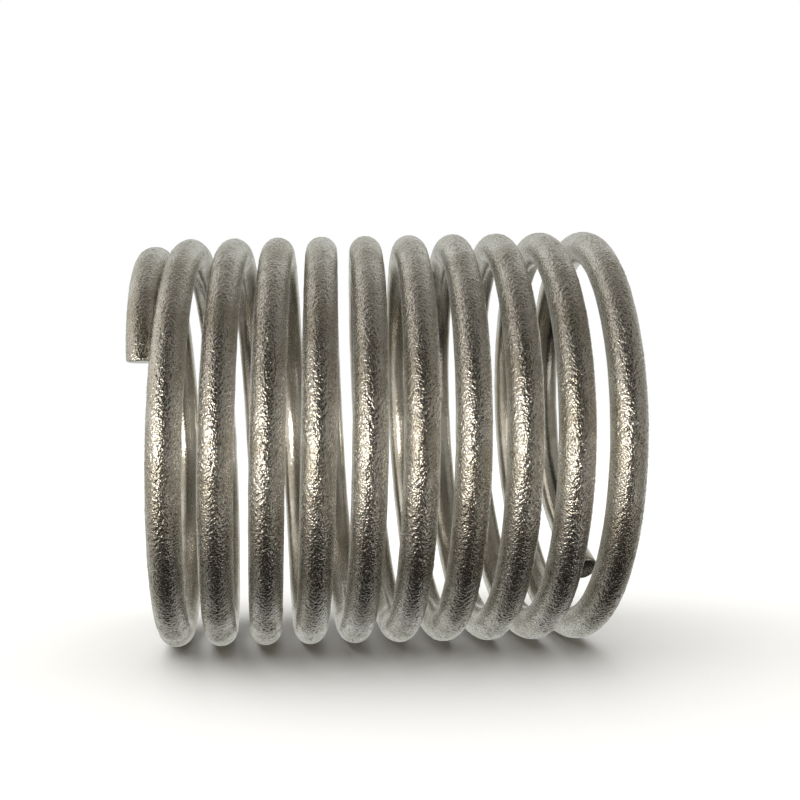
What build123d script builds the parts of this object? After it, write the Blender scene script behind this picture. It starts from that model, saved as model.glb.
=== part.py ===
from build123d import *
import math
import os

# Left-hand compression coil wound from one round bare wire, lying with its axis along X.
# The wire is divided into half-turns by the horizontal plane through the coil axis,
# so every half-turn can slide along X against its neighbours.
# The winding angle is 0 at the front, 90 at the top, 180 at the back and 270 at the bottom.

# Driving dimensions, millimetres and degrees
WIRE_DIAMETER = 6.0
MEAN_DIAMETER = 73.5
PITCH = 8.45
FULL_TURNS = 10
LEFT_END_ANGLE = -341.0
LEFT_TAIL_ANGLE = -180.0
LEFT_TAIL_CLOSING = 4.16
LEFT_TAIL_TUCK = 4.32
LEFT_TAIL_POWER = 2.5
LEFT_CUT_HEIGHT = 13.55
LEFT_SECTIONS = 15
RIGHT_TAIL_ANGLE = 3420.0
RIGHT_END_ANGLE = 3474.5
RIGHT_TAIL_OPENING = 2.8
RIGHT_TAIL_POWER = 2.0
RIGHT_SECTIONS = 6
END_ROUND = 0.5
CUT_OVERLAP = 4.0
SMALL_ANGLE = 0.01

WIRE_RADIUS = WIRE_DIAMETER / 2
MEAN_RADIUS = MEAN_DIAMETER / 2


def share(angle, start, end):
    """Part of the way from start to end that the angle has reached, never below zero."""
    return max(0.0, (angle - start) / (end - start))


def wire_centre(angle):
    """Centre of the wire at a winding angle, with the coil axis on the X axis."""
    closing = share(angle, LEFT_TAIL_ANGLE, LEFT_END_ANGLE) ** LEFT_TAIL_POWER
    opening = share(angle, RIGHT_TAIL_ANGLE, RIGHT_END_ANGLE) ** RIGHT_TAIL_POWER
    along = PITCH * angle / 360
    along = along + LEFT_TAIL_CLOSING * closing
    along = along + RIGHT_TAIL_OPENING * opening
    radius = MEAN_RADIUS - LEFT_TAIL_TUCK * closing
    turn = math.radians(angle)
    return Vector(along, -radius * math.cos(turn), radius * math.sin(turn))


def half_turn(upper):
    """One half-turn of the regular helix, cut flat on the plane through the coil axis."""
    start = -CUT_OVERLAP if upper else -180.0 - CUT_OVERLAP
    span = 180.0 + 2 * CUT_OVERLAP
    turn = math.radians(start)
    outward = (0, -math.cos(turn), math.sin(turn))
    frame = Plane(origin=(PITCH * start / 360, 0, 0), x_dir=outward, z_dir=(1, 0, 0))
    coil = Helix(pitch=PITCH, height=PITCH * span / 360, radius=MEAN_RADIUS, lefthand=True)
    path = frame * coil
    section = Plane(origin=path @ 0, z_dir=path % 0) * Circle(WIRE_RADIUS)
    wire = sweep(section, path=path, is_frenet=True)
    side = Keep.TOP if upper else Keep.BOTTOM
    return split(wire, bisect_by=Plane.XY, keep=side)


def wire_section(angle, step, joined):
    """The round section of the wire at an angle. At the joined end it lies level, like the joint."""
    small = math.copysign(SMALL_ANGLE, step)
    heading = wire_centre(angle + small) - wire_centre(angle - small)
    if joined:
        heading = Vector(0, 0, 1)
    heading = heading.normalized()
    turn = math.radians(angle)
    radial = Vector(0, -math.cos(turn), math.sin(turn))
    outward = radial - heading * radial.dot(heading)
    return Plane(origin=wire_centre(angle), x_dir=outward, z_dir=heading) * Circle(WIRE_RADIUS)


def tail(joined_angle, free_angle, count):
    """A wire end, lofted from the level joint on the plane through the axis to its free end."""
    step = (free_angle - joined_angle) / (count - 1)
    sections = [wire_section(joined_angle + step * i, step, i == 0) for i in range(count)]
    return loft(sections)


def left_tail():
    """The left end, cut off level at the front so that its face looks straight down."""
    wire = tail(LEFT_TAIL_ANGLE, LEFT_END_ANGLE, LEFT_SECTIONS)
    reach = 2 * MEAN_RADIUS
    waste = Pos(0, -reach / 2, LEFT_CUT_HEIGHT - reach / 2) * Box(reach, reach, reach)
    wire = wire - waste
    cut_face = wire.faces().filter_by(Plane.XY).sort_by(Axis.Z)[-1]
    return fillet(cut_face.edges(), END_ROUND)


def right_tail():
    """The right end, cut off square to the wire."""
    wire = tail(RIGHT_TAIL_ANGLE, RIGHT_END_ANGLE, RIGHT_SECTIONS)
    cut_face = wire.faces().sort_by_distance(wire_centre(RIGHT_END_ANGLE))[0]
    return fillet(cut_face.edges(), END_ROUND)


parts = {}
parts["left_end_tail"] = left_tail()
lower_half = half_turn(False)
upper_half = half_turn(True)
for number in range(1, FULL_TURNS + 1):
    step_along = Location((PITCH * (number - 1), 0, 0))
    parts[f"turn_{number:02d}_lower"] = step_along * lower_half
    parts[f"turn_{number:02d}_upper"] = step_along * upper_half
parts["right_end_tail"] = right_tail()

box = Compound(children=[Part(p.wrapped) for p in parts.values()]).bounding_box()
middle = (box.min.X + box.max.X) / 2
outer_radius = MEAN_RADIUS + WIRE_RADIUS
place = Location((-middle, 0, outer_radius))

os.makedirs("parts", exist_ok=True)
for name, solid in parts.items():
    placed = place * solid
    placed.label = name
    export_step(placed, f"parts/{name}.step")
    size = placed.bounding_box()
    print(name, round(placed.volume, 1), size.min, size.max)
print("box", box.min, box.max, "middle", middle)
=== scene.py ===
"""Visual model of a left-hand coil of bare zinc-coated wire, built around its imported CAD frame.

Winding angle: 0 at the front, 90 at the top, 180 at the back, 270 at the bottom. The coil lies
along X, and X grows with the winding angle by one pitch for each full turn.
"""
import math

import bpy
import numpy as np
from bpy.props import FloatProperty, FloatVectorProperty, IntProperty, PointerProperty
from mathutils import Matrix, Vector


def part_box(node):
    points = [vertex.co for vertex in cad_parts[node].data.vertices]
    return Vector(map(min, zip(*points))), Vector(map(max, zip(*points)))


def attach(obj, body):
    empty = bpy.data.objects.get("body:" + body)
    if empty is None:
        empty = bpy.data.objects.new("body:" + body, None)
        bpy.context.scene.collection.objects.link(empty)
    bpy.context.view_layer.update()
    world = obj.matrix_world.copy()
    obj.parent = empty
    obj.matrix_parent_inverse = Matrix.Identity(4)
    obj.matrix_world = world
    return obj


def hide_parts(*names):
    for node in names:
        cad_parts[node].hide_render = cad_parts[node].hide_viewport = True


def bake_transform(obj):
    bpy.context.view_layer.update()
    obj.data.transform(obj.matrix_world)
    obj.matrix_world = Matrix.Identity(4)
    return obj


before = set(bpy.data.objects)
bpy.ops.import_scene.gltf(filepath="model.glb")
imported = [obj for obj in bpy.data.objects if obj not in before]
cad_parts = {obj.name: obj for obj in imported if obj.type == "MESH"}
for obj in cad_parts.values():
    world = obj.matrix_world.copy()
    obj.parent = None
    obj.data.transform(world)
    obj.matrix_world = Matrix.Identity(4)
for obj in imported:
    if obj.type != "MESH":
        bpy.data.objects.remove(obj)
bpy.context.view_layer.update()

bl_info = {
    "name": "Bare wire coil",
    "version": (1, 0, 0),
    "blender": (4, 5, 0),
    "location": "3D View > Sidebar > Coil",
    "description": "Builds a bare wire coil around its CAD frame, with studio floor, light and camera",
    "category": "Object",
}

FULL_TURNS = 10
HALF_TURN = 180.0
TOP = 90.0
CLOSED_BODY = "left_end_coil"
OPEN_BODY = "right_end_tail"

# Sizes that the frame gives: the pitch is the step from one lower half-turn to the next.
FRAME_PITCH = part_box("turn_03_lower")[0][0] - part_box("turn_02_lower")[0][0]
FRAME_AXIS_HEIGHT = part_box("turn_02_lower")[1][2]
FRAME_WIRE = 0.006
# The box of the first upper half-turn ends half a pitch and half a wire past the first turn's front.
FRONT_OF_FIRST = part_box("turn_01_upper")[1][0] - FRAME_PITCH / 2 - FRAME_WIRE / 2

# The tails leave the helix by these powers of the share of the way to their ends.
CLOSING_POWER = 2.5
OPENING_POWER = 2
# Angle over which the heading of the centre line is measured, in degrees.
SMALL_ANGLE = 0.01

# Rings of points in a cut end: its round, its flat, and the lean from a square ring to a level cut.
ROUND_RINGS = 7
FLAT_RINGS = 14
LEANING_RINGS = 30
# The level cut is looked for this far past the left end, in degrees, and is halved this often.
LEVEL_SEARCH = 40.0
HALVINGS = 40
# Room that is left between the last whole ring and a cut: degrees at the left, rounds at the right.
LEFT_MARGIN = 3.0
RIGHT_MARGIN = 1.5
# The relief fades away on a cut face, from the wall in to this share of the wire's radius.
FADE_RADIUS = 0.8

# Noise in the relief: width in hammer sizes, how far it is drawn out, and its slant in radians.
RELIEF_SEED = 731
BAND_WIDTH = 0.45
HAMMER_BAND = (1.0, 1.0, 0.6)
WRINKLE_BAND = (1.3, 1.5, 0.9)
PATCH_BAND = (12.0, 1.0, 0.0)
WAVE_STRETCH = 1.6
WRINKLE_SHARE = 0.5
PATCH_SHARE = 0.3
PATCH_LIMIT = 1.5
INSIDE_SHARE = 0.25

# Noise in the zinc: scale for each metre, octaves, and how strong each octave is.
MOTTLE_NOISE = (160.0, 4.0, 0.6)
CLOUD_NOISE = (45.0, 3.0, 0.55)
GRAIN_NOISE = (3300.0, 1.0, 0.45)
SAND_NOISE = (6000.0, 1.0, 0.5)
LINE_NOISE = (1500.0, 3.0, 0.6)
SCRATCH_NOISE = (3200.0, 2.0, 0.7)
FIBRE_NOISE = (900.0, 3.0, 0.5)
# How far the length of the wire is squeezed under the noise that makes draw lines and scratches.
LINE_SQUEEZE = 0.02
SCRATCH_SQUEEZE = 0.012
# Colour of the painted shade in the hollows of the fine grain.
HOLLOW_SHADE_COLOUR = (0.24, 0.21, 0.17)
BUMP_DISTANCE = 0.00015
# The fine grain fades over this height either side of the middle of the wire, as seen on the coil.
OUTSIDE_REACH = 0.0016

# Patches of the surroundings: azimuth, elevation, reach, core angle and strength. Azimuth is 0 in
# front of the coil and grows to the right, and all four angles are in degrees.
BRIGHT_PATCHES = (
    (-60, 0, 50, 8, 0.55),
    (-102, 34, 38, 10, 0.40),
    (-38, -4, 11, 1, 10.0),
    (-26, -5, 9, 1, 6.0),
    (50, -38, 16, 3, 0.7),
)
# Added to the room before the dark patches are taken off it, each by its own share.
FILL_PATCH = (60, -8, 50, 10, 0.08)
DARK_PATCHES = (
    (5, 38, 40, 4, 0.90),
    (7, 2, 19, 4, 0.90),
    (5, -25, 26, 4, 0.70),
    (95, -55, 50, 4, 0.80),
)
ROOM_LIGHT = 0.19
ROOM_SHADE = 0.16
BACKDROP_LIGHT = 0.48
WARM_LIGHT = (1.0, 0.93, 0.82)
COOL_LIGHT = (0.99, 1.0, 0.95)
SUN_STRENGTH = 3.6
SUN_SPREAD = 100.0
SUN_TILT = (8.0, -10.0, 0.0)

FLOOR_RADII = (0.05, 6.0)
FLOOR_RINGS = 24
FLOOR_SIDES = 96

CAMERA_LENS = 44.83
CAMERA_SENSOR = 36.0
CAMERA_ASIDE = 0.02223
CAMERA_DISTANCE = 0.19923
# Turned to the left, tilted up and rolled, in degrees.
CAMERA_TURNS = (-0.437, 2.706, 1.179)
CAMERA_SHIFT = (0.1169, -0.0106)


class WireSizes(bpy.types.PropertyGroup):
    """Sizes of the wire and of the coil that it is wound into."""

    wire: FloatProperty(
        name="Wire diameter", description="Diameter of the round wire", default=FRAME_WIRE, unit="LENGTH"
    )
    pitch: FloatProperty(
        name="Pitch", description="Step along the axis for one turn", default=FRAME_PITCH, unit="LENGTH"
    )
    left_tail_angle: FloatProperty(
        name="Left tail start", description="Winding angle where the left tail leaves the helix",
        default=-180.0,
    )
    left_end_angle: FloatProperty(
        name="Left end", description="Winding angle to which the left tail is drawn", default=-341.0
    )
    left_closing: FloatProperty(
        name="Left closing", description="How far the left end closes up along the axis",
        default=0.00416, unit="LENGTH",
    )
    left_tuck: FloatProperty(
        name="Left tuck", description="How far the left end tucks in towards the axis",
        default=0.00432, unit="LENGTH",
    )
    left_cut: FloatProperty(
        name="Left cut", description="Height of the level left cut above the axis", default=0.01355,
        unit="LENGTH",
    )
    right_tail_angle: FloatProperty(
        name="Right tail start", description="Winding angle where the right tail leaves the helix",
        default=3420.0,
    )
    right_end_angle: FloatProperty(
        name="Right cut", description="Winding angle of the right cut end", default=3474.5
    )
    right_opening: FloatProperty(
        name="Right opening", description="How far the right end opens along the axis",
        default=0.0028, unit="LENGTH",
    )
    end_round: FloatProperty(
        name="End round", description="Round on the edge of each cut end", default=0.0005, unit="LENGTH"
    )
    rings: IntProperty(
        name="Rings", description="Rings of points in a half-turn", default=512, min=24
    )
    sides: IntProperty(
        name="Sides", description="Points around the wire", default=88, min=12
    )


class WireFinish(bpy.types.PropertyGroup):
    """Colours and surface of the bare wire."""

    zinc: FloatVectorProperty(
        name="Zinc", description="Colour of the clean zinc", default=(0.80, 0.785, 0.74),
        subtype="COLOR", min=0.0, max=1.0,
    )
    tarnish: FloatVectorProperty(
        name="Tarnish", description="Colour where the zinc has dulled", default=(0.60, 0.57, 0.50),
        subtype="COLOR", min=0.0, max=1.0,
    )
    hammer_height: FloatProperty(
        name="Hammer height", description="Typical height of the hammered grain", default=0.000022,
        unit="LENGTH", precision=6,
    )
    hammer_size: FloatProperty(
        name="Hammer size", description="Typical width of the hammered grain", default=0.00080,
        unit="LENGTH", precision=5,
    )
    wave_height: FloatProperty(
        name="Wave height", description="Typical height of the slow waves in the wire", default=0.000012,
        unit="LENGTH", precision=6,
    )
    wave_size: FloatProperty(
        name="Wave size", description="Typical length of the slow waves in the wire", default=0.0045,
        unit="LENGTH", precision=5,
    )
    floor: FloatVectorProperty(
        name="Floor", description="Colour of the studio floor", default=(0.82, 0.82, 0.81),
        subtype="COLOR", min=0.0, max=1.0,
    )


def sizes():
    """The sizes that are set on the scene."""
    return bpy.context.scene.coil_sizes


def finish_values():
    """The colours and surface that are set on the scene."""
    return bpy.context.scene.coil_finish


# ---------------------------------------------------------------- shape of the wire


def share(angle, start, end):
    """How far an angle has gone from start to end, never below zero."""
    return np.maximum(0.0, (angle - start) / (end - start))


def wire_centre(angle):
    """Centre line: a circle of the mean radius, drawn out along X by the pitch for each turn.

    Past the tail angles a power of the share adds the closing, the tuck and the opening.
    """
    size = sizes()
    closing = share(angle, size.left_tail_angle, size.left_end_angle) ** CLOSING_POWER
    opening = share(angle, size.right_tail_angle, size.right_end_angle) ** OPENING_POWER
    along = FRONT_OF_FIRST + size.pitch * angle / 360
    along = along + size.left_closing * closing + size.right_opening * opening
    radius = FRAME_AXIS_HEIGHT - size.wire / 2 - size.left_tuck * closing
    turn = np.radians(angle)
    height = FRAME_AXIS_HEIGHT + radius * np.sin(turn)
    return np.stack([along, -radius * np.cos(turn), height], axis=-1)


def unit(vectors):
    """Vectors divided by their own lengths."""
    return vectors / np.linalg.norm(vectors, axis=-1, keepdims=True)


def wire_frame(angle):
    """Centre, heading, outward and sideways directions at each angle.

    The heading is a central difference of the centre line, outward is the part of the coil's radius
    that is square to it, and sideways is their cross product.
    """
    centre = wire_centre(angle)
    heading = unit(wire_centre(angle + SMALL_ANGLE) - wire_centre(angle - SMALL_ANGLE))
    turn = np.radians(angle)
    radial = np.stack([np.zeros_like(turn), -np.cos(turn), np.sin(turn)], axis=-1)
    outward = unit(radial - heading * np.sum(radial * heading, axis=-1, keepdims=True))
    sideways = np.cross(heading, outward)
    return centre, heading, outward, sideways


def arc_step():
    """Length of wire for one degree of winding, from the helix's own Pythagoras."""
    size = sizes()
    radius = FRAME_AXIS_HEIGHT - size.wire / 2
    return math.hypot(math.radians(1.0) * radius, size.pitch / 360)


def band_noise(rng, shape, steps, width, stretch, slant):
    """Even noise whose waves are all about one width long, on a grid that repeats both ways.

    White noise goes through a ring-shaped filter in the frequency plane. The ring is turned by
    slant and squashed by stretch, which draws the grain out into slanting wrinkles.
    """
    rows = np.fft.fftfreq(shape[0], steps[0])[:, None]
    columns = np.fft.rfftfreq(shape[1], steps[1])[None, :]
    along = (rows * math.cos(slant) + columns * math.sin(slant)) * stretch
    across = columns * math.cos(slant) - rows * math.sin(slant)
    radius = np.hypot(along, across) * width
    keep = np.exp(-(((radius - 1.0) / BAND_WIDTH) ** 2))
    keep[radius == 0.0] = 0.0
    noise = np.fft.irfft2(np.fft.rfft2(rng.standard_normal(shape)) * keep, shape)
    return noise / noise.std()


class Relief:
    """Height of the crinkled skin above a smooth wire, over the whole wire as one unrolled grid.

    The outside of the coil keeps the full grain. The flanks and the inside, pressed smooth by the
    winding, keep a quarter of it.
    """

    def __init__(self):
        size, look = sizes(), finish_values()
        self.step = HALF_TURN / size.rings
        self.first = math.floor((size.left_end_angle - TOP) / self.step) - 2
        last = math.ceil((size.right_end_angle - TOP) / self.step) + 2
        shape = (last - self.first + 1, size.sides)
        steps = (self.step * arc_step(), math.pi * size.wire / size.sides)
        rng = np.random.default_rng(RELIEF_SEED)
        hammer, wrinkle, patch = (
            band_noise(rng, shape, steps, look.hammer_size * width, stretch, slant)
            for width, stretch, slant in (HAMMER_BAND, WRINKLE_BAND, PATCH_BAND)
        )
        wave = band_noise(rng, shape, steps, look.wave_size, WAVE_STRETCH, 0.0)
        strength = 1.0 + PATCH_SHARE * np.clip(patch, -PATCH_LIMIT, PATCH_LIMIT)
        outward = np.cos(np.arange(size.sides) * 2 * math.pi / size.sides)
        facing = np.clip(outward / 0.6 + 0.3, 0.0, 1.0)
        facing = facing * facing * (3 - 2 * facing)
        strength = strength * (INSIDE_SHARE + (1 - INSIDE_SHARE) * facing)
        self.height = look.hammer_height * strength * (hammer + WRINKLE_SHARE * wrinkle)
        self.height += look.wave_height * wave

    def at(self, angle):
        """Heights at a grid of angles: a straight line between the two nearest rings on each side."""
        row = (angle - TOP) / self.step - self.first
        below = np.floor(row + 1e-6).astype(int)
        part = row - below
        side = np.arange(self.height.shape[1])
        return (1 - part) * self.height[below, side] + part * self.height[below + 1, side]


def surface(angle, radius):
    """Wire surface: centre plus radius times the outward direction turned round the wire."""
    centre, heading, outward, sideways = wire_frame(angle)
    around = (np.arange(angle.shape[1]) * 2 * math.pi / angle.shape[1])[:, None]
    return centre + radius[..., None] * (outward * np.cos(around) + sideways * np.sin(around))


def grid_normals(points):
    """Normals of a grid that closes round the wire: cross product of its two central differences."""
    along = np.gradient(points, axis=0)
    around = np.roll(points, -1, axis=1) - np.roll(points, 1, axis=1)
    return unit(np.cross(around, along))


def wire_coordinates(angle, radius):
    """Place on the straightened wire: length along it, and the two coordinates of its section."""
    around = np.arange(angle.shape[1]) * 2 * math.pi / angle.shape[1]
    return np.stack([angle * arc_step(), radius * np.cos(around), radius * np.sin(around)], axis=-1)


def cut_profile():
    """How far back from the cut and how far in from the wall each ring of a cut end lies.

    The round on the edge is a quarter circle. The flat then shrinks evenly to nearly nothing.
    """
    size = sizes()
    quarter = np.linspace(0.0, math.pi / 2, ROUND_RINGS)
    flat = np.linspace(1.0, 0.0, FLAT_RINGS)[1:-1] * (size.wire / 2 - size.end_round)
    back = np.concatenate([size.end_round * (1 - np.sin(quarter)), np.zeros(len(flat))])
    radius = np.concatenate([size.wire / 2 - size.end_round * (1 - np.cos(quarter)), flat])
    return back, radius


def level_angle(radius, height):
    """Winding angle at which each side of the left tail comes down to a height, found by halving."""
    low = np.full(radius.shape, sizes().left_end_angle)
    high = np.full(radius.shape, sizes().left_end_angle + LEVEL_SEARCH)
    for _ in range(HALVINGS):
        middle = (low + high) / 2
        above = surface(middle, radius)[..., 2] > height
        low, high = np.where(above, low, middle), np.where(above, middle, high)
    return (low + high) / 2


def left_cut_rings(from_angle):
    """Rings from a square ring of the left tail down to the level cut, its round and its flat."""
    size = sizes()
    back, inner = cut_profile()
    radius = np.repeat(inner[:, None], size.sides, axis=1)
    height = FRAME_AXIS_HEIGHT + size.left_cut + np.repeat(back[:, None], size.sides, axis=1)
    angle = level_angle(radius, height)
    lean = np.linspace(0.0, 1.0, LEANING_RINGS)[1:-1, None]
    leaning = from_angle + lean * (angle[:1] - from_angle)
    wall = np.full(leaning.shape, size.wire / 2)
    return np.concatenate([leaning, angle]), np.concatenate([wall, radius])


def right_cut_rings():
    """Rings of the square cut at the right: its round and its flat."""
    size = sizes()
    back, inner = cut_profile()
    angle = size.right_end_angle - back / arc_step()
    return tuple(np.repeat(values[:, None], size.sides, axis=1) for values in (angle, inner))


def wire_faces(rings, sides):
    """Four-sided faces of a grid that closes round the wire, and a fan of triangles on each end.

    The hubs of the two fans are the two points that come after the grid's own.
    """
    ring, side = np.meshgrid(np.arange(rings - 1), np.arange(sides), indexing="ij")
    a, b = ring * sides + side, ring * sides + (side + 1) % sides
    quads = np.stack([a, b, b + sides, a + sides], axis=-1).reshape(-1, 4)
    rim = np.arange(sides)
    next_rim = (rim + 1) % sides
    hub = rings * sides
    end = hub - sides
    start_fan = np.stack([rim, np.full(sides, hub), next_rim], axis=-1)
    end_fan = np.stack([end + next_rim, np.full(sides, hub + 1), end + rim], axis=-1)
    return quads, np.concatenate([start_fan, end_fan])


def wire_piece(name, first, last, relief, start_cut=None, end_cut=None):
    """One closed length of wire between two rings, counted in steps from the first turn's top.

    An end that joins the next piece is closed with a flat fan inside the wire, and its normals come
    from one ring further on, so that the two pieces shade as one. A cut end gets its cut's rings.
    """
    size = sizes()
    before, after = (0 if start_cut else 1), (0 if end_cut else 1)
    index = np.arange(first - before, last + after + 1)
    angle = np.repeat((TOP + index * relief.step)[:, None], size.sides, axis=1)
    radius = np.full(angle.shape, size.wire / 2)
    if start_cut:
        angle = np.concatenate([start_cut[0][::-1], angle])
        radius = np.concatenate([start_cut[1][::-1], radius])
    if end_cut:
        angle = np.concatenate([angle, end_cut[0]])
        radius = np.concatenate([radius, end_cut[1]])
    wall = np.clip((2 * radius / size.wire - FADE_RADIUS) / (1 - FADE_RADIUS), 0.0, 1.0)
    points = surface(angle, radius + wall * relief.at(angle))
    normals = grid_normals(points)
    keep = slice(before, len(angle) - after)
    points, normals, angle, radius = points[keep], normals[keep], angle[keep], radius[keep]
    hubs = points[[0, -1]].mean(axis=1)
    places = wire_coordinates(angle, radius)
    hub_places = places[[0, -1]].mean(axis=1)
    vertices = np.concatenate([points.reshape(-1, 3), hubs])
    places = np.concatenate([places.reshape(-1, 3), hub_places])
    quads, fans = wire_faces(len(angle), size.sides)
    return closed_mesh(name, vertices, quads, fans, normals, places)


def closed_mesh(name, vertices, quads, fans, normals, places):
    """Puts arrays of points, faces, ring normals and wire places into a new mesh object."""
    mesh = bpy.data.meshes.new(name)
    mesh.vertices.add(len(vertices))
    mesh.vertices.foreach_set("co", vertices.astype(np.float32).ravel())
    corners = np.concatenate([quads.ravel(), fans.ravel()])
    mesh.loops.add(len(corners))
    mesh.loops.foreach_set("vertex_index", corners.astype(np.int32))
    starts = np.concatenate([np.arange(len(quads)) * 4, len(quads) * 4 + np.arange(len(fans)) * 3])
    mesh.polygons.add(len(starts))
    mesh.polygons.foreach_set("loop_start", starts.astype(np.int32))
    mesh.update(calc_edges=True)
    mesh.polygons.foreach_set("use_smooth", np.ones(len(starts), dtype=bool))
    attribute = mesh.attributes.new("wire_place", "FLOAT_VECTOR", "POINT")
    attribute.data.foreach_set("vector", places.astype(np.float32).ravel())
    a, b, c = (vertices[fans[:, k]] for k in range(3))
    fan_normals = unit(np.cross(b - a, c - a))
    quad_normals = normals.reshape(-1, 3)[quads.ravel()]
    corner_normals = np.concatenate([quad_normals, np.repeat(fan_normals, 3, axis=0)])
    mesh.normals_split_custom_set(corner_normals.tolist())
    mesh.validate()
    piece = bpy.data.objects.new(name, mesh)
    bpy.context.collection.objects.link(piece)
    return piece


def finish_piece(piece, body=None, nodes=()):
    """Gives a piece its wire material and slot, hides the CAD parts that it stands for, and ties it to
    its body. A piece without a body has its place baked into its points.
    """
    piece.data.materials.append(wire_material())
    if nodes:
        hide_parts(*nodes)
    if body is not None:
        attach(piece, body)
        return
    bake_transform(piece)


# ---------------------------------------------------------------- material sums


class Socket:
    """A material socket that ordinary Python sums can be done on."""

    def __init__(self, tree, output):
        self.tree = tree
        self.output = output

    def node(self, kind, settings, *inputs, result=0):
        """Adds one node to this socket's material: its type, its settings, then its sockets."""
        return add_node(self.tree, kind, settings, *inputs, result=result)

    def sum(self, operation, first, second):
        """One Math node on two sockets or numbers."""
        return self.node("ShaderNodeMath", {"operation": operation}, (0, first), (1, second))

    def __add__(self, other):
        return self.sum("ADD", self, other)

    __radd__ = __add__

    def __sub__(self, other):
        return self.sum("SUBTRACT", self, other)

    def __rsub__(self, other):
        return self.sum("SUBTRACT", other, self)

    def __mul__(self, other):
        return self.sum("MULTIPLY", self, other)

    __rmul__ = __mul__

    def size(self):
        """The value without its sign."""
        return self.sum("ABSOLUTE", self, 0.0)

    def dot(self, direction):
        """How far this vector points along a fixed direction."""
        return self.node(
            "ShaderNodeVectorMath", {"operation": "DOT_PRODUCT"}, (0, self), (1, direction), result=1
        )

    def between(self, low, high):
        """0 at low, 1 at high, and a smooth run between them."""
        return self.node(
            "ShaderNodeMapRange", {"interpolation_type": "SMOOTHSTEP"}, (0, self), (1, low), (2, high)
        )


def add_node(tree, kind, settings, *inputs, result=0):
    """One node of a kind. Settings are set first, then each (socket, value or link) pair."""
    node = tree.nodes.new(kind)
    for key, value in settings.items():
        setattr(node, key, value)
    for key, value in inputs:
        target = node.inputs[key]
        if isinstance(value, Socket):
            tree.links.new(value.output, target)
        else:
            target.default_value = value
    if not node.outputs:
        return None
    return Socket(tree, node.outputs[result])


def noise(place, scale, octaves, roughness):
    """Noise over a place, with its waves about one over scale metres long."""
    return place.node(
        "ShaderNodeTexNoise", {"noise_dimensions": "3D"},
        ("Vector", place), ("Scale", scale), ("Detail", octaves), ("Roughness", roughness),
    )


def stretched(place, squeeze):
    """The wire place squeezed along the wire, which draws noise out into lengthwise lines."""
    return place.node(
        "ShaderNodeMapping", {"vector_type": "POINT"},
        ("Vector", place), ("Scale", (squeeze, 1.0, 1.0)),
    )


def mixed(factor, first, second):
    """Colour between first and second, each of them a socket or fixed red, green and blue."""
    first, second = (
        value if isinstance(value, Socket) else (*value, 1.0) for value in (first, second)
    )
    return factor.node(
        "ShaderNodeMix", {"data_type": "RGBA"}, (0, factor), (6, first), (7, second), result=2
    )


def new_material(name):
    """An empty node material."""
    material = bpy.data.materials.new(name)
    material.use_nodes = True
    material.node_tree.nodes.clear()
    return material


def wire_material():
    """Bare zinc-coated wire: crystals of zinc, dull patches, draw lines, a fine sandy skin, and painted
    shade in the hollows of the grain.
    """
    existing = bpy.data.materials.get("zinc_wire")
    if existing is not None:
        return existing
    look = finish_values()
    material = new_material("zinc_wire")
    tree = material.node_tree
    place = add_node(tree, "ShaderNodeAttribute", {"attribute_name": "wire_place"}, result=1)

    mottle = noise(place, *MOTTLE_NOISE)
    cloud = noise(place, *CLOUD_NOISE)
    grain = noise(place, *GRAIN_NOISE)
    sand = noise(place, *SAND_NOISE)
    outside = place.dot((0.0, 1.0, 0.0)).between(-OUTSIDE_REACH, OUTSIDE_REACH)
    lines = noise(stretched(place, LINE_SQUEEZE), *LINE_NOISE)
    scratches = noise(stretched(place, SCRATCH_SQUEEZE), *SCRATCH_NOISE)

    dull = (0.55 * mottle + 0.45 * cloud).between(0.42, 0.62)
    colour = mixed(dull, tuple(look.zinc), tuple(look.tarnish))
    # Painted shade: the zinc is darkened in the hollows of the fine grain on the outside of the coil.
    hollow_shade = (1.0 - grain.between(0.32, 0.44)) * 0.5 * outside
    colour = mixed(hollow_shade, colour, HOLLOW_SHADE_COLOUR)
    roughness = 0.13 + 0.09 * dull + 0.08 * sand - 0.03 * lines.between(0.5, 0.7)
    height = (INSIDE_SHARE + (1 - INSIDE_SHARE) * outside) * (grain + 0.15 * sand)
    height = height + 0.10 * lines + 0.08 * scratches.between(0.62, 0.75)
    bump = add_node(
        tree, "ShaderNodeBump", {},
        ("Strength", 1.0), ("Distance", BUMP_DISTANCE), ("Height", height),
    )
    shader = add_node(
        tree, "ShaderNodeBsdfPrincipled", {},
        ("Base Color", colour), ("Metallic", 1.0), ("Roughness", roughness), ("Normal", bump),
    )
    add_node(tree, "ShaderNodeOutputMaterial", {}, ("Surface", shader))
    return material


def floor_material():
    """Matt pale paper with a very faint fibre."""
    look = finish_values()
    material = new_material("studio_paper")
    tree = material.node_tree
    place = add_node(tree, "ShaderNodeTexCoord", {}, result=3)
    fibre = noise(place, *FIBRE_NOISE)
    base = tuple(look.floor)
    colour = mixed(fibre, base, tuple(0.97 * channel for channel in base))
    shader = add_node(
        tree, "ShaderNodeBsdfPrincipled", {}, ("Base Color", colour), ("Roughness", 0.85)
    )
    add_node(tree, "ShaderNodeOutputMaterial", {}, ("Surface", shader))
    return material


# ---------------------------------------------------------------- operators


def ring_of(crest):
    """Ring number of a crest: 0 is the first turn's top, 1 the bottom after it, and so on."""
    return crest * sizes().rings


def shared_relief():
    """The relief of the whole wire, worked out once and then kept."""
    if not hasattr(shared_relief, "kept"):
        shared_relief.kept = Relief()
    return shared_relief.kept


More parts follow.
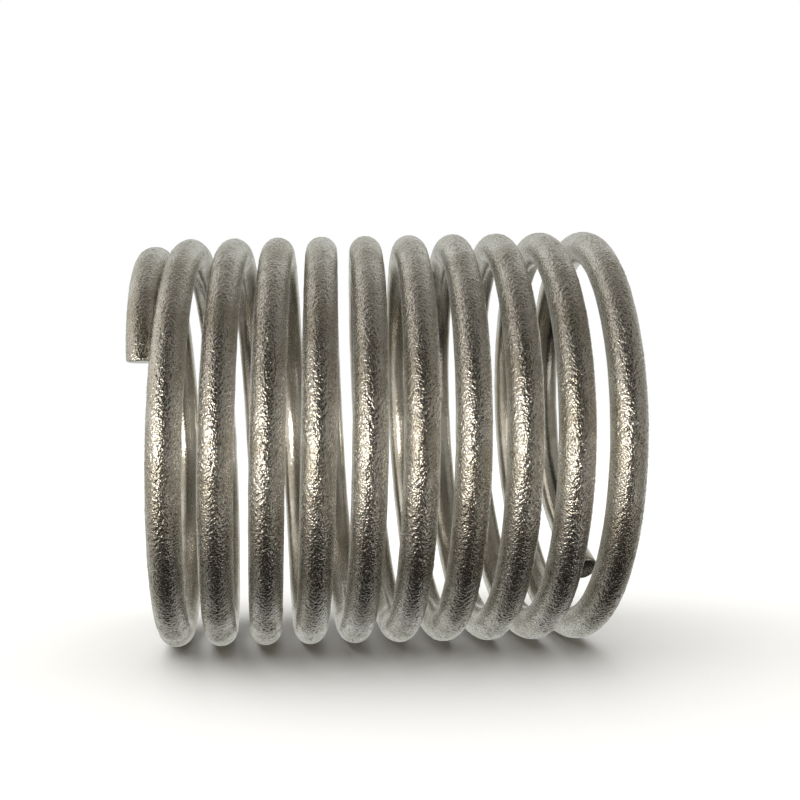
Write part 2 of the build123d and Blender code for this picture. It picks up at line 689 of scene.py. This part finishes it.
class ClosedEnd(bpy.types.Operator):
    """Builds the closed turn at the left: the cut tail and the first front strand"""

    bl_idname = "coil.closed_end"
    bl_label = "Closed end"

    def execute(self, context):
        relief, size = shared_relief(), sizes()
        wall = np.full((1, size.sides), size.wire / 2)
        cut_angle = level_angle(wall, FRAME_AXIS_HEIGHT + size.left_cut)
        first = math.ceil((cut_angle.max() + LEFT_MARGIN - TOP) / relief.step)
        cut = left_cut_rings(TOP + first * relief.step)
        tail = wire_piece("closed_end_tail", first, ring_of(-1), relief, start_cut=cut)
        finish_piece(tail, body=CLOSED_BODY, nodes=("left_end_tail",))
        strand = wire_piece("front_strand_01", ring_of(-1), ring_of(0), relief)
        finish_piece(strand, body=CLOSED_BODY, nodes=("turn_01_lower", "turn_01_upper"))
        return {"FINISHED"}


class FrontStrands(bpy.types.Operator):
    """Builds the front strands of the working turns, each from its bottom crest to its top crest"""

    bl_idname = "coil.front_strands"
    bl_label = "Front strands"

    def execute(self, context):
        relief = shared_relief()
        for turn in range(2, FULL_TURNS + 1):
            crest = 2 * (turn - 1)
            name = f"front_strand_{turn:02d}"
            strand = wire_piece(name, ring_of(crest - 1), ring_of(crest), relief)
            halves = (f"turn_{turn:02d}_lower", f"turn_{turn:02d}_upper")
            finish_piece(strand, nodes=halves)
        return {"FINISHED"}


class BackStrands(bpy.types.Operator):
    """Builds the back strands between the turns, each from its top crest to the next bottom crest"""

    bl_idname = "coil.back_strands"
    bl_label = "Back strands"

    def execute(self, context):
        relief = shared_relief()
        for turn in range(1, FULL_TURNS):
            crest = 2 * (turn - 1)
            name = f"back_strand_{turn:02d}"
            strand = wire_piece(name, ring_of(crest), ring_of(crest + 1), relief)
            finish_piece(strand)
        return {"FINISHED"}


class OpenEnd(bpy.types.Operator):
    """Builds the open end at the right, from the last top crest down the back to its cut"""

    bl_idname = "coil.open_end"
    bl_label = "Open end"

    def execute(self, context):
        relief, size = shared_relief(), sizes()
        last_angle = size.right_end_angle - RIGHT_MARGIN * size.end_round / arc_step()
        last = math.floor((last_angle - TOP) / relief.step)
        first = ring_of(2 * (FULL_TURNS - 1))
        tail = wire_piece("open_end_tail", first, last, relief, end_cut=right_cut_rings())
        finish_piece(tail, nodes=(OPEN_BODY,))
        return {"FINISHED"}


def soft_sun():
    """Even soft light from overhead, left out of reflections, where the surroundings do its work."""
    lamp = bpy.data.lights.new("soft_overhead", "SUN")
    lamp.energy = SUN_STRENGTH
    lamp.angle = math.radians(SUN_SPREAD)
    light = bpy.data.objects.new("soft_overhead", lamp)
    light.rotation_euler = tuple(math.radians(turn) for turn in SUN_TILT)
    light.visible_glossy = False
    bpy.context.collection.objects.link(light)


def compass(azimuth, elevation):
    """Direction of an azimuth from the front, growing to the right, and an elevation, in degrees."""
    across, up = math.radians(azimuth), math.radians(elevation)
    return (math.sin(across) * math.cos(up), -math.cos(across) * math.cos(up), math.sin(up))


def glow(direction, azimuth, elevation, reach, core, strength):
    """A soft round patch of the surroundings: its strength inside its core angle, 0 past its reach."""
    facing = direction.dot(compass(azimuth, elevation))
    return strength * facing.between(math.cos(math.radians(reach)), math.cos(math.radians(core)))


def studio_world():
    """Soft surroundings: a pale backdrop behind, a window at the left, a dim room in front and below.

    The eye sees plain white past the floor. Everything else sees the soft patches.
    """
    world = bpy.data.worlds.new("studio")
    bpy.context.scene.world = world
    world.use_nodes = True
    tree = world.node_tree
    tree.nodes.clear()
    direction = add_node(tree, "ShaderNodeTexCoord", {}, result=0)
    backwards, upwards = direction.dot((0.0, 1.0, 0.0)), direction.dot((0.0, 0.0, 1.0))
    backdrop = backwards.between(0.10, 0.75) * (1.0 - upwards.size().between(0.86, 0.96))
    room = ROOM_LIGHT - ROOM_SHADE * (-1.0 * upwards).between(0.40, 0.92)
    room = room + glow(direction, *FILL_PATCH)
    for patch in DARK_PATCHES:
        room = room * (1.0 - glow(direction, *patch))
    level = room + BACKDROP_LIGHT * backdrop
    for patch in BRIGHT_PATCHES:
        level = level + glow(direction, *patch)
    colour = mixed(backdrop, WARM_LIGHT, COOL_LIGHT)
    lit = add_node(tree, "ShaderNodeBackground", {}, ("Color", colour), ("Strength", level))
    seen = add_node(tree, "ShaderNodeLightPath", {}, result=0)
    white = (1.0, 1.0, 1.0, 1.0)
    pale = add_node(tree, "ShaderNodeBackground", {}, ("Color", white), ("Strength", 1.0))
    both = add_node(tree, "ShaderNodeMixShader", {}, (0, seen), (1, lit), (2, pale))
    add_node(tree, "ShaderNodeOutputWorld", {}, ("Surface", both))


class Stage(bpy.types.Operator):
    """Builds the plain pale floor, the soft studio light and the camera"""

    bl_idname = "coil.stage"
    bl_label = "Stage"

    def execute(self, context):
        studio_floor()
        studio_world()
        soft_sun()
        studio_camera()
        view = context.scene.view_settings
        view.view_transform = "Standard"
        view.look = "None"
        return {"FINISHED"}


def studio_floor():
    """A round pale floor: rings of growing radius about the coil, closed in the middle."""
    radius = np.geomspace(*FLOOR_RADII, FLOOR_RINGS)[:, None]
    around = np.linspace(0.0, 2 * math.pi, FLOOR_SIDES + 1)[:-1]
    grid = np.zeros((FLOOR_RINGS, FLOOR_SIDES, 3))
    grid[..., 0] = radius * np.cos(around)
    grid[..., 1] = radius * np.sin(around)
    quads, _ = wire_faces(FLOOR_RINGS, FLOOR_SIDES)
    faces = quads[:, ::-1].tolist()
    faces.append(list(range(FLOOR_SIDES)))
    mesh = bpy.data.meshes.new("studio_floor")
    mesh.from_pydata(grid.reshape(-1, 3).tolist(), [], faces)
    floor = bpy.data.objects.new("studio_floor", mesh)
    bpy.context.collection.objects.link(floor)
    floor.data.materials.append(floor_material())
    floor.visible_glossy = False


def studio_camera():
    """Camera a little left of the coil's middle, at the height of its axis, looking slightly up."""
    yaw, tilt, roll = (math.radians(turn) for turn in CAMERA_TURNS)
    camera_data = bpy.data.cameras.new("camera")
    camera_data.lens = CAMERA_LENS
    camera_data.sensor_width = CAMERA_SENSOR
    camera_data.shift_x, camera_data.shift_y = CAMERA_SHIFT
    camera_data.clip_start = 0.01
    camera_data.clip_end = 20.0
    camera = bpy.data.objects.new("camera", camera_data)
    turned = (
        Matrix.Rotation(yaw, 4, "Z") @ Matrix.Rotation(tilt, 4, "X")
        @ Matrix.Rotation(roll, 4, "Y") @ Matrix.Rotation(math.radians(90.0), 4, "X")
    )
    turned.translation = (FRONT_OF_FIRST + CAMERA_ASIDE, -CAMERA_DISTANCE, FRAME_AXIS_HEIGHT)
    camera.matrix_world = turned
    bpy.context.collection.objects.link(camera)
    bpy.context.scene.camera = camera


class CoilPanel(bpy.types.Panel):
    """Lists the builders of the coil in the sidebar"""

    bl_idname = "VIEW3D_PT_coil"
    bl_label = "Bare wire coil"
    bl_space_type = "VIEW_3D"
    bl_region_type = "UI"
    bl_category = "Coil"

    def draw(self, context):
        for group in (context.scene.coil_sizes, context.scene.coil_finish):
            for name in group.__annotations__:
                self.layout.prop(group, name)
        for builder in BUILDERS:
            self.layout.operator(builder.bl_idname)


BUILDERS = (Stage, ClosedEnd, FrontStrands, BackStrands, OpenEnd)
CLASSES = (WireSizes, WireFinish, *BUILDERS, CoilPanel)


def register():
    """Registers every class and hangs the two groups of settings on the scene."""
    for each in CLASSES:
        bpy.utils.register_class(each)
    bpy.types.Scene.coil_sizes = PointerProperty(type=WireSizes)
    bpy.types.Scene.coil_finish = PointerProperty(type=WireFinish)


def unregister():
    """Takes the settings off the scene and the classes out again."""
    del bpy.types.Scene.coil_finish
    del bpy.types.Scene.coil_sizes
    for each in reversed(CLASSES):
        bpy.utils.unregister_class(each)


def main():
    """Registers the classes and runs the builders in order."""
    register()
    bpy.ops.coil.stage()
    bpy.ops.coil.closed_end()
    bpy.ops.coil.front_strands()
    bpy.ops.coil.back_strands()
    bpy.ops.coil.open_end()


if __name__ == "__main__":
    main()
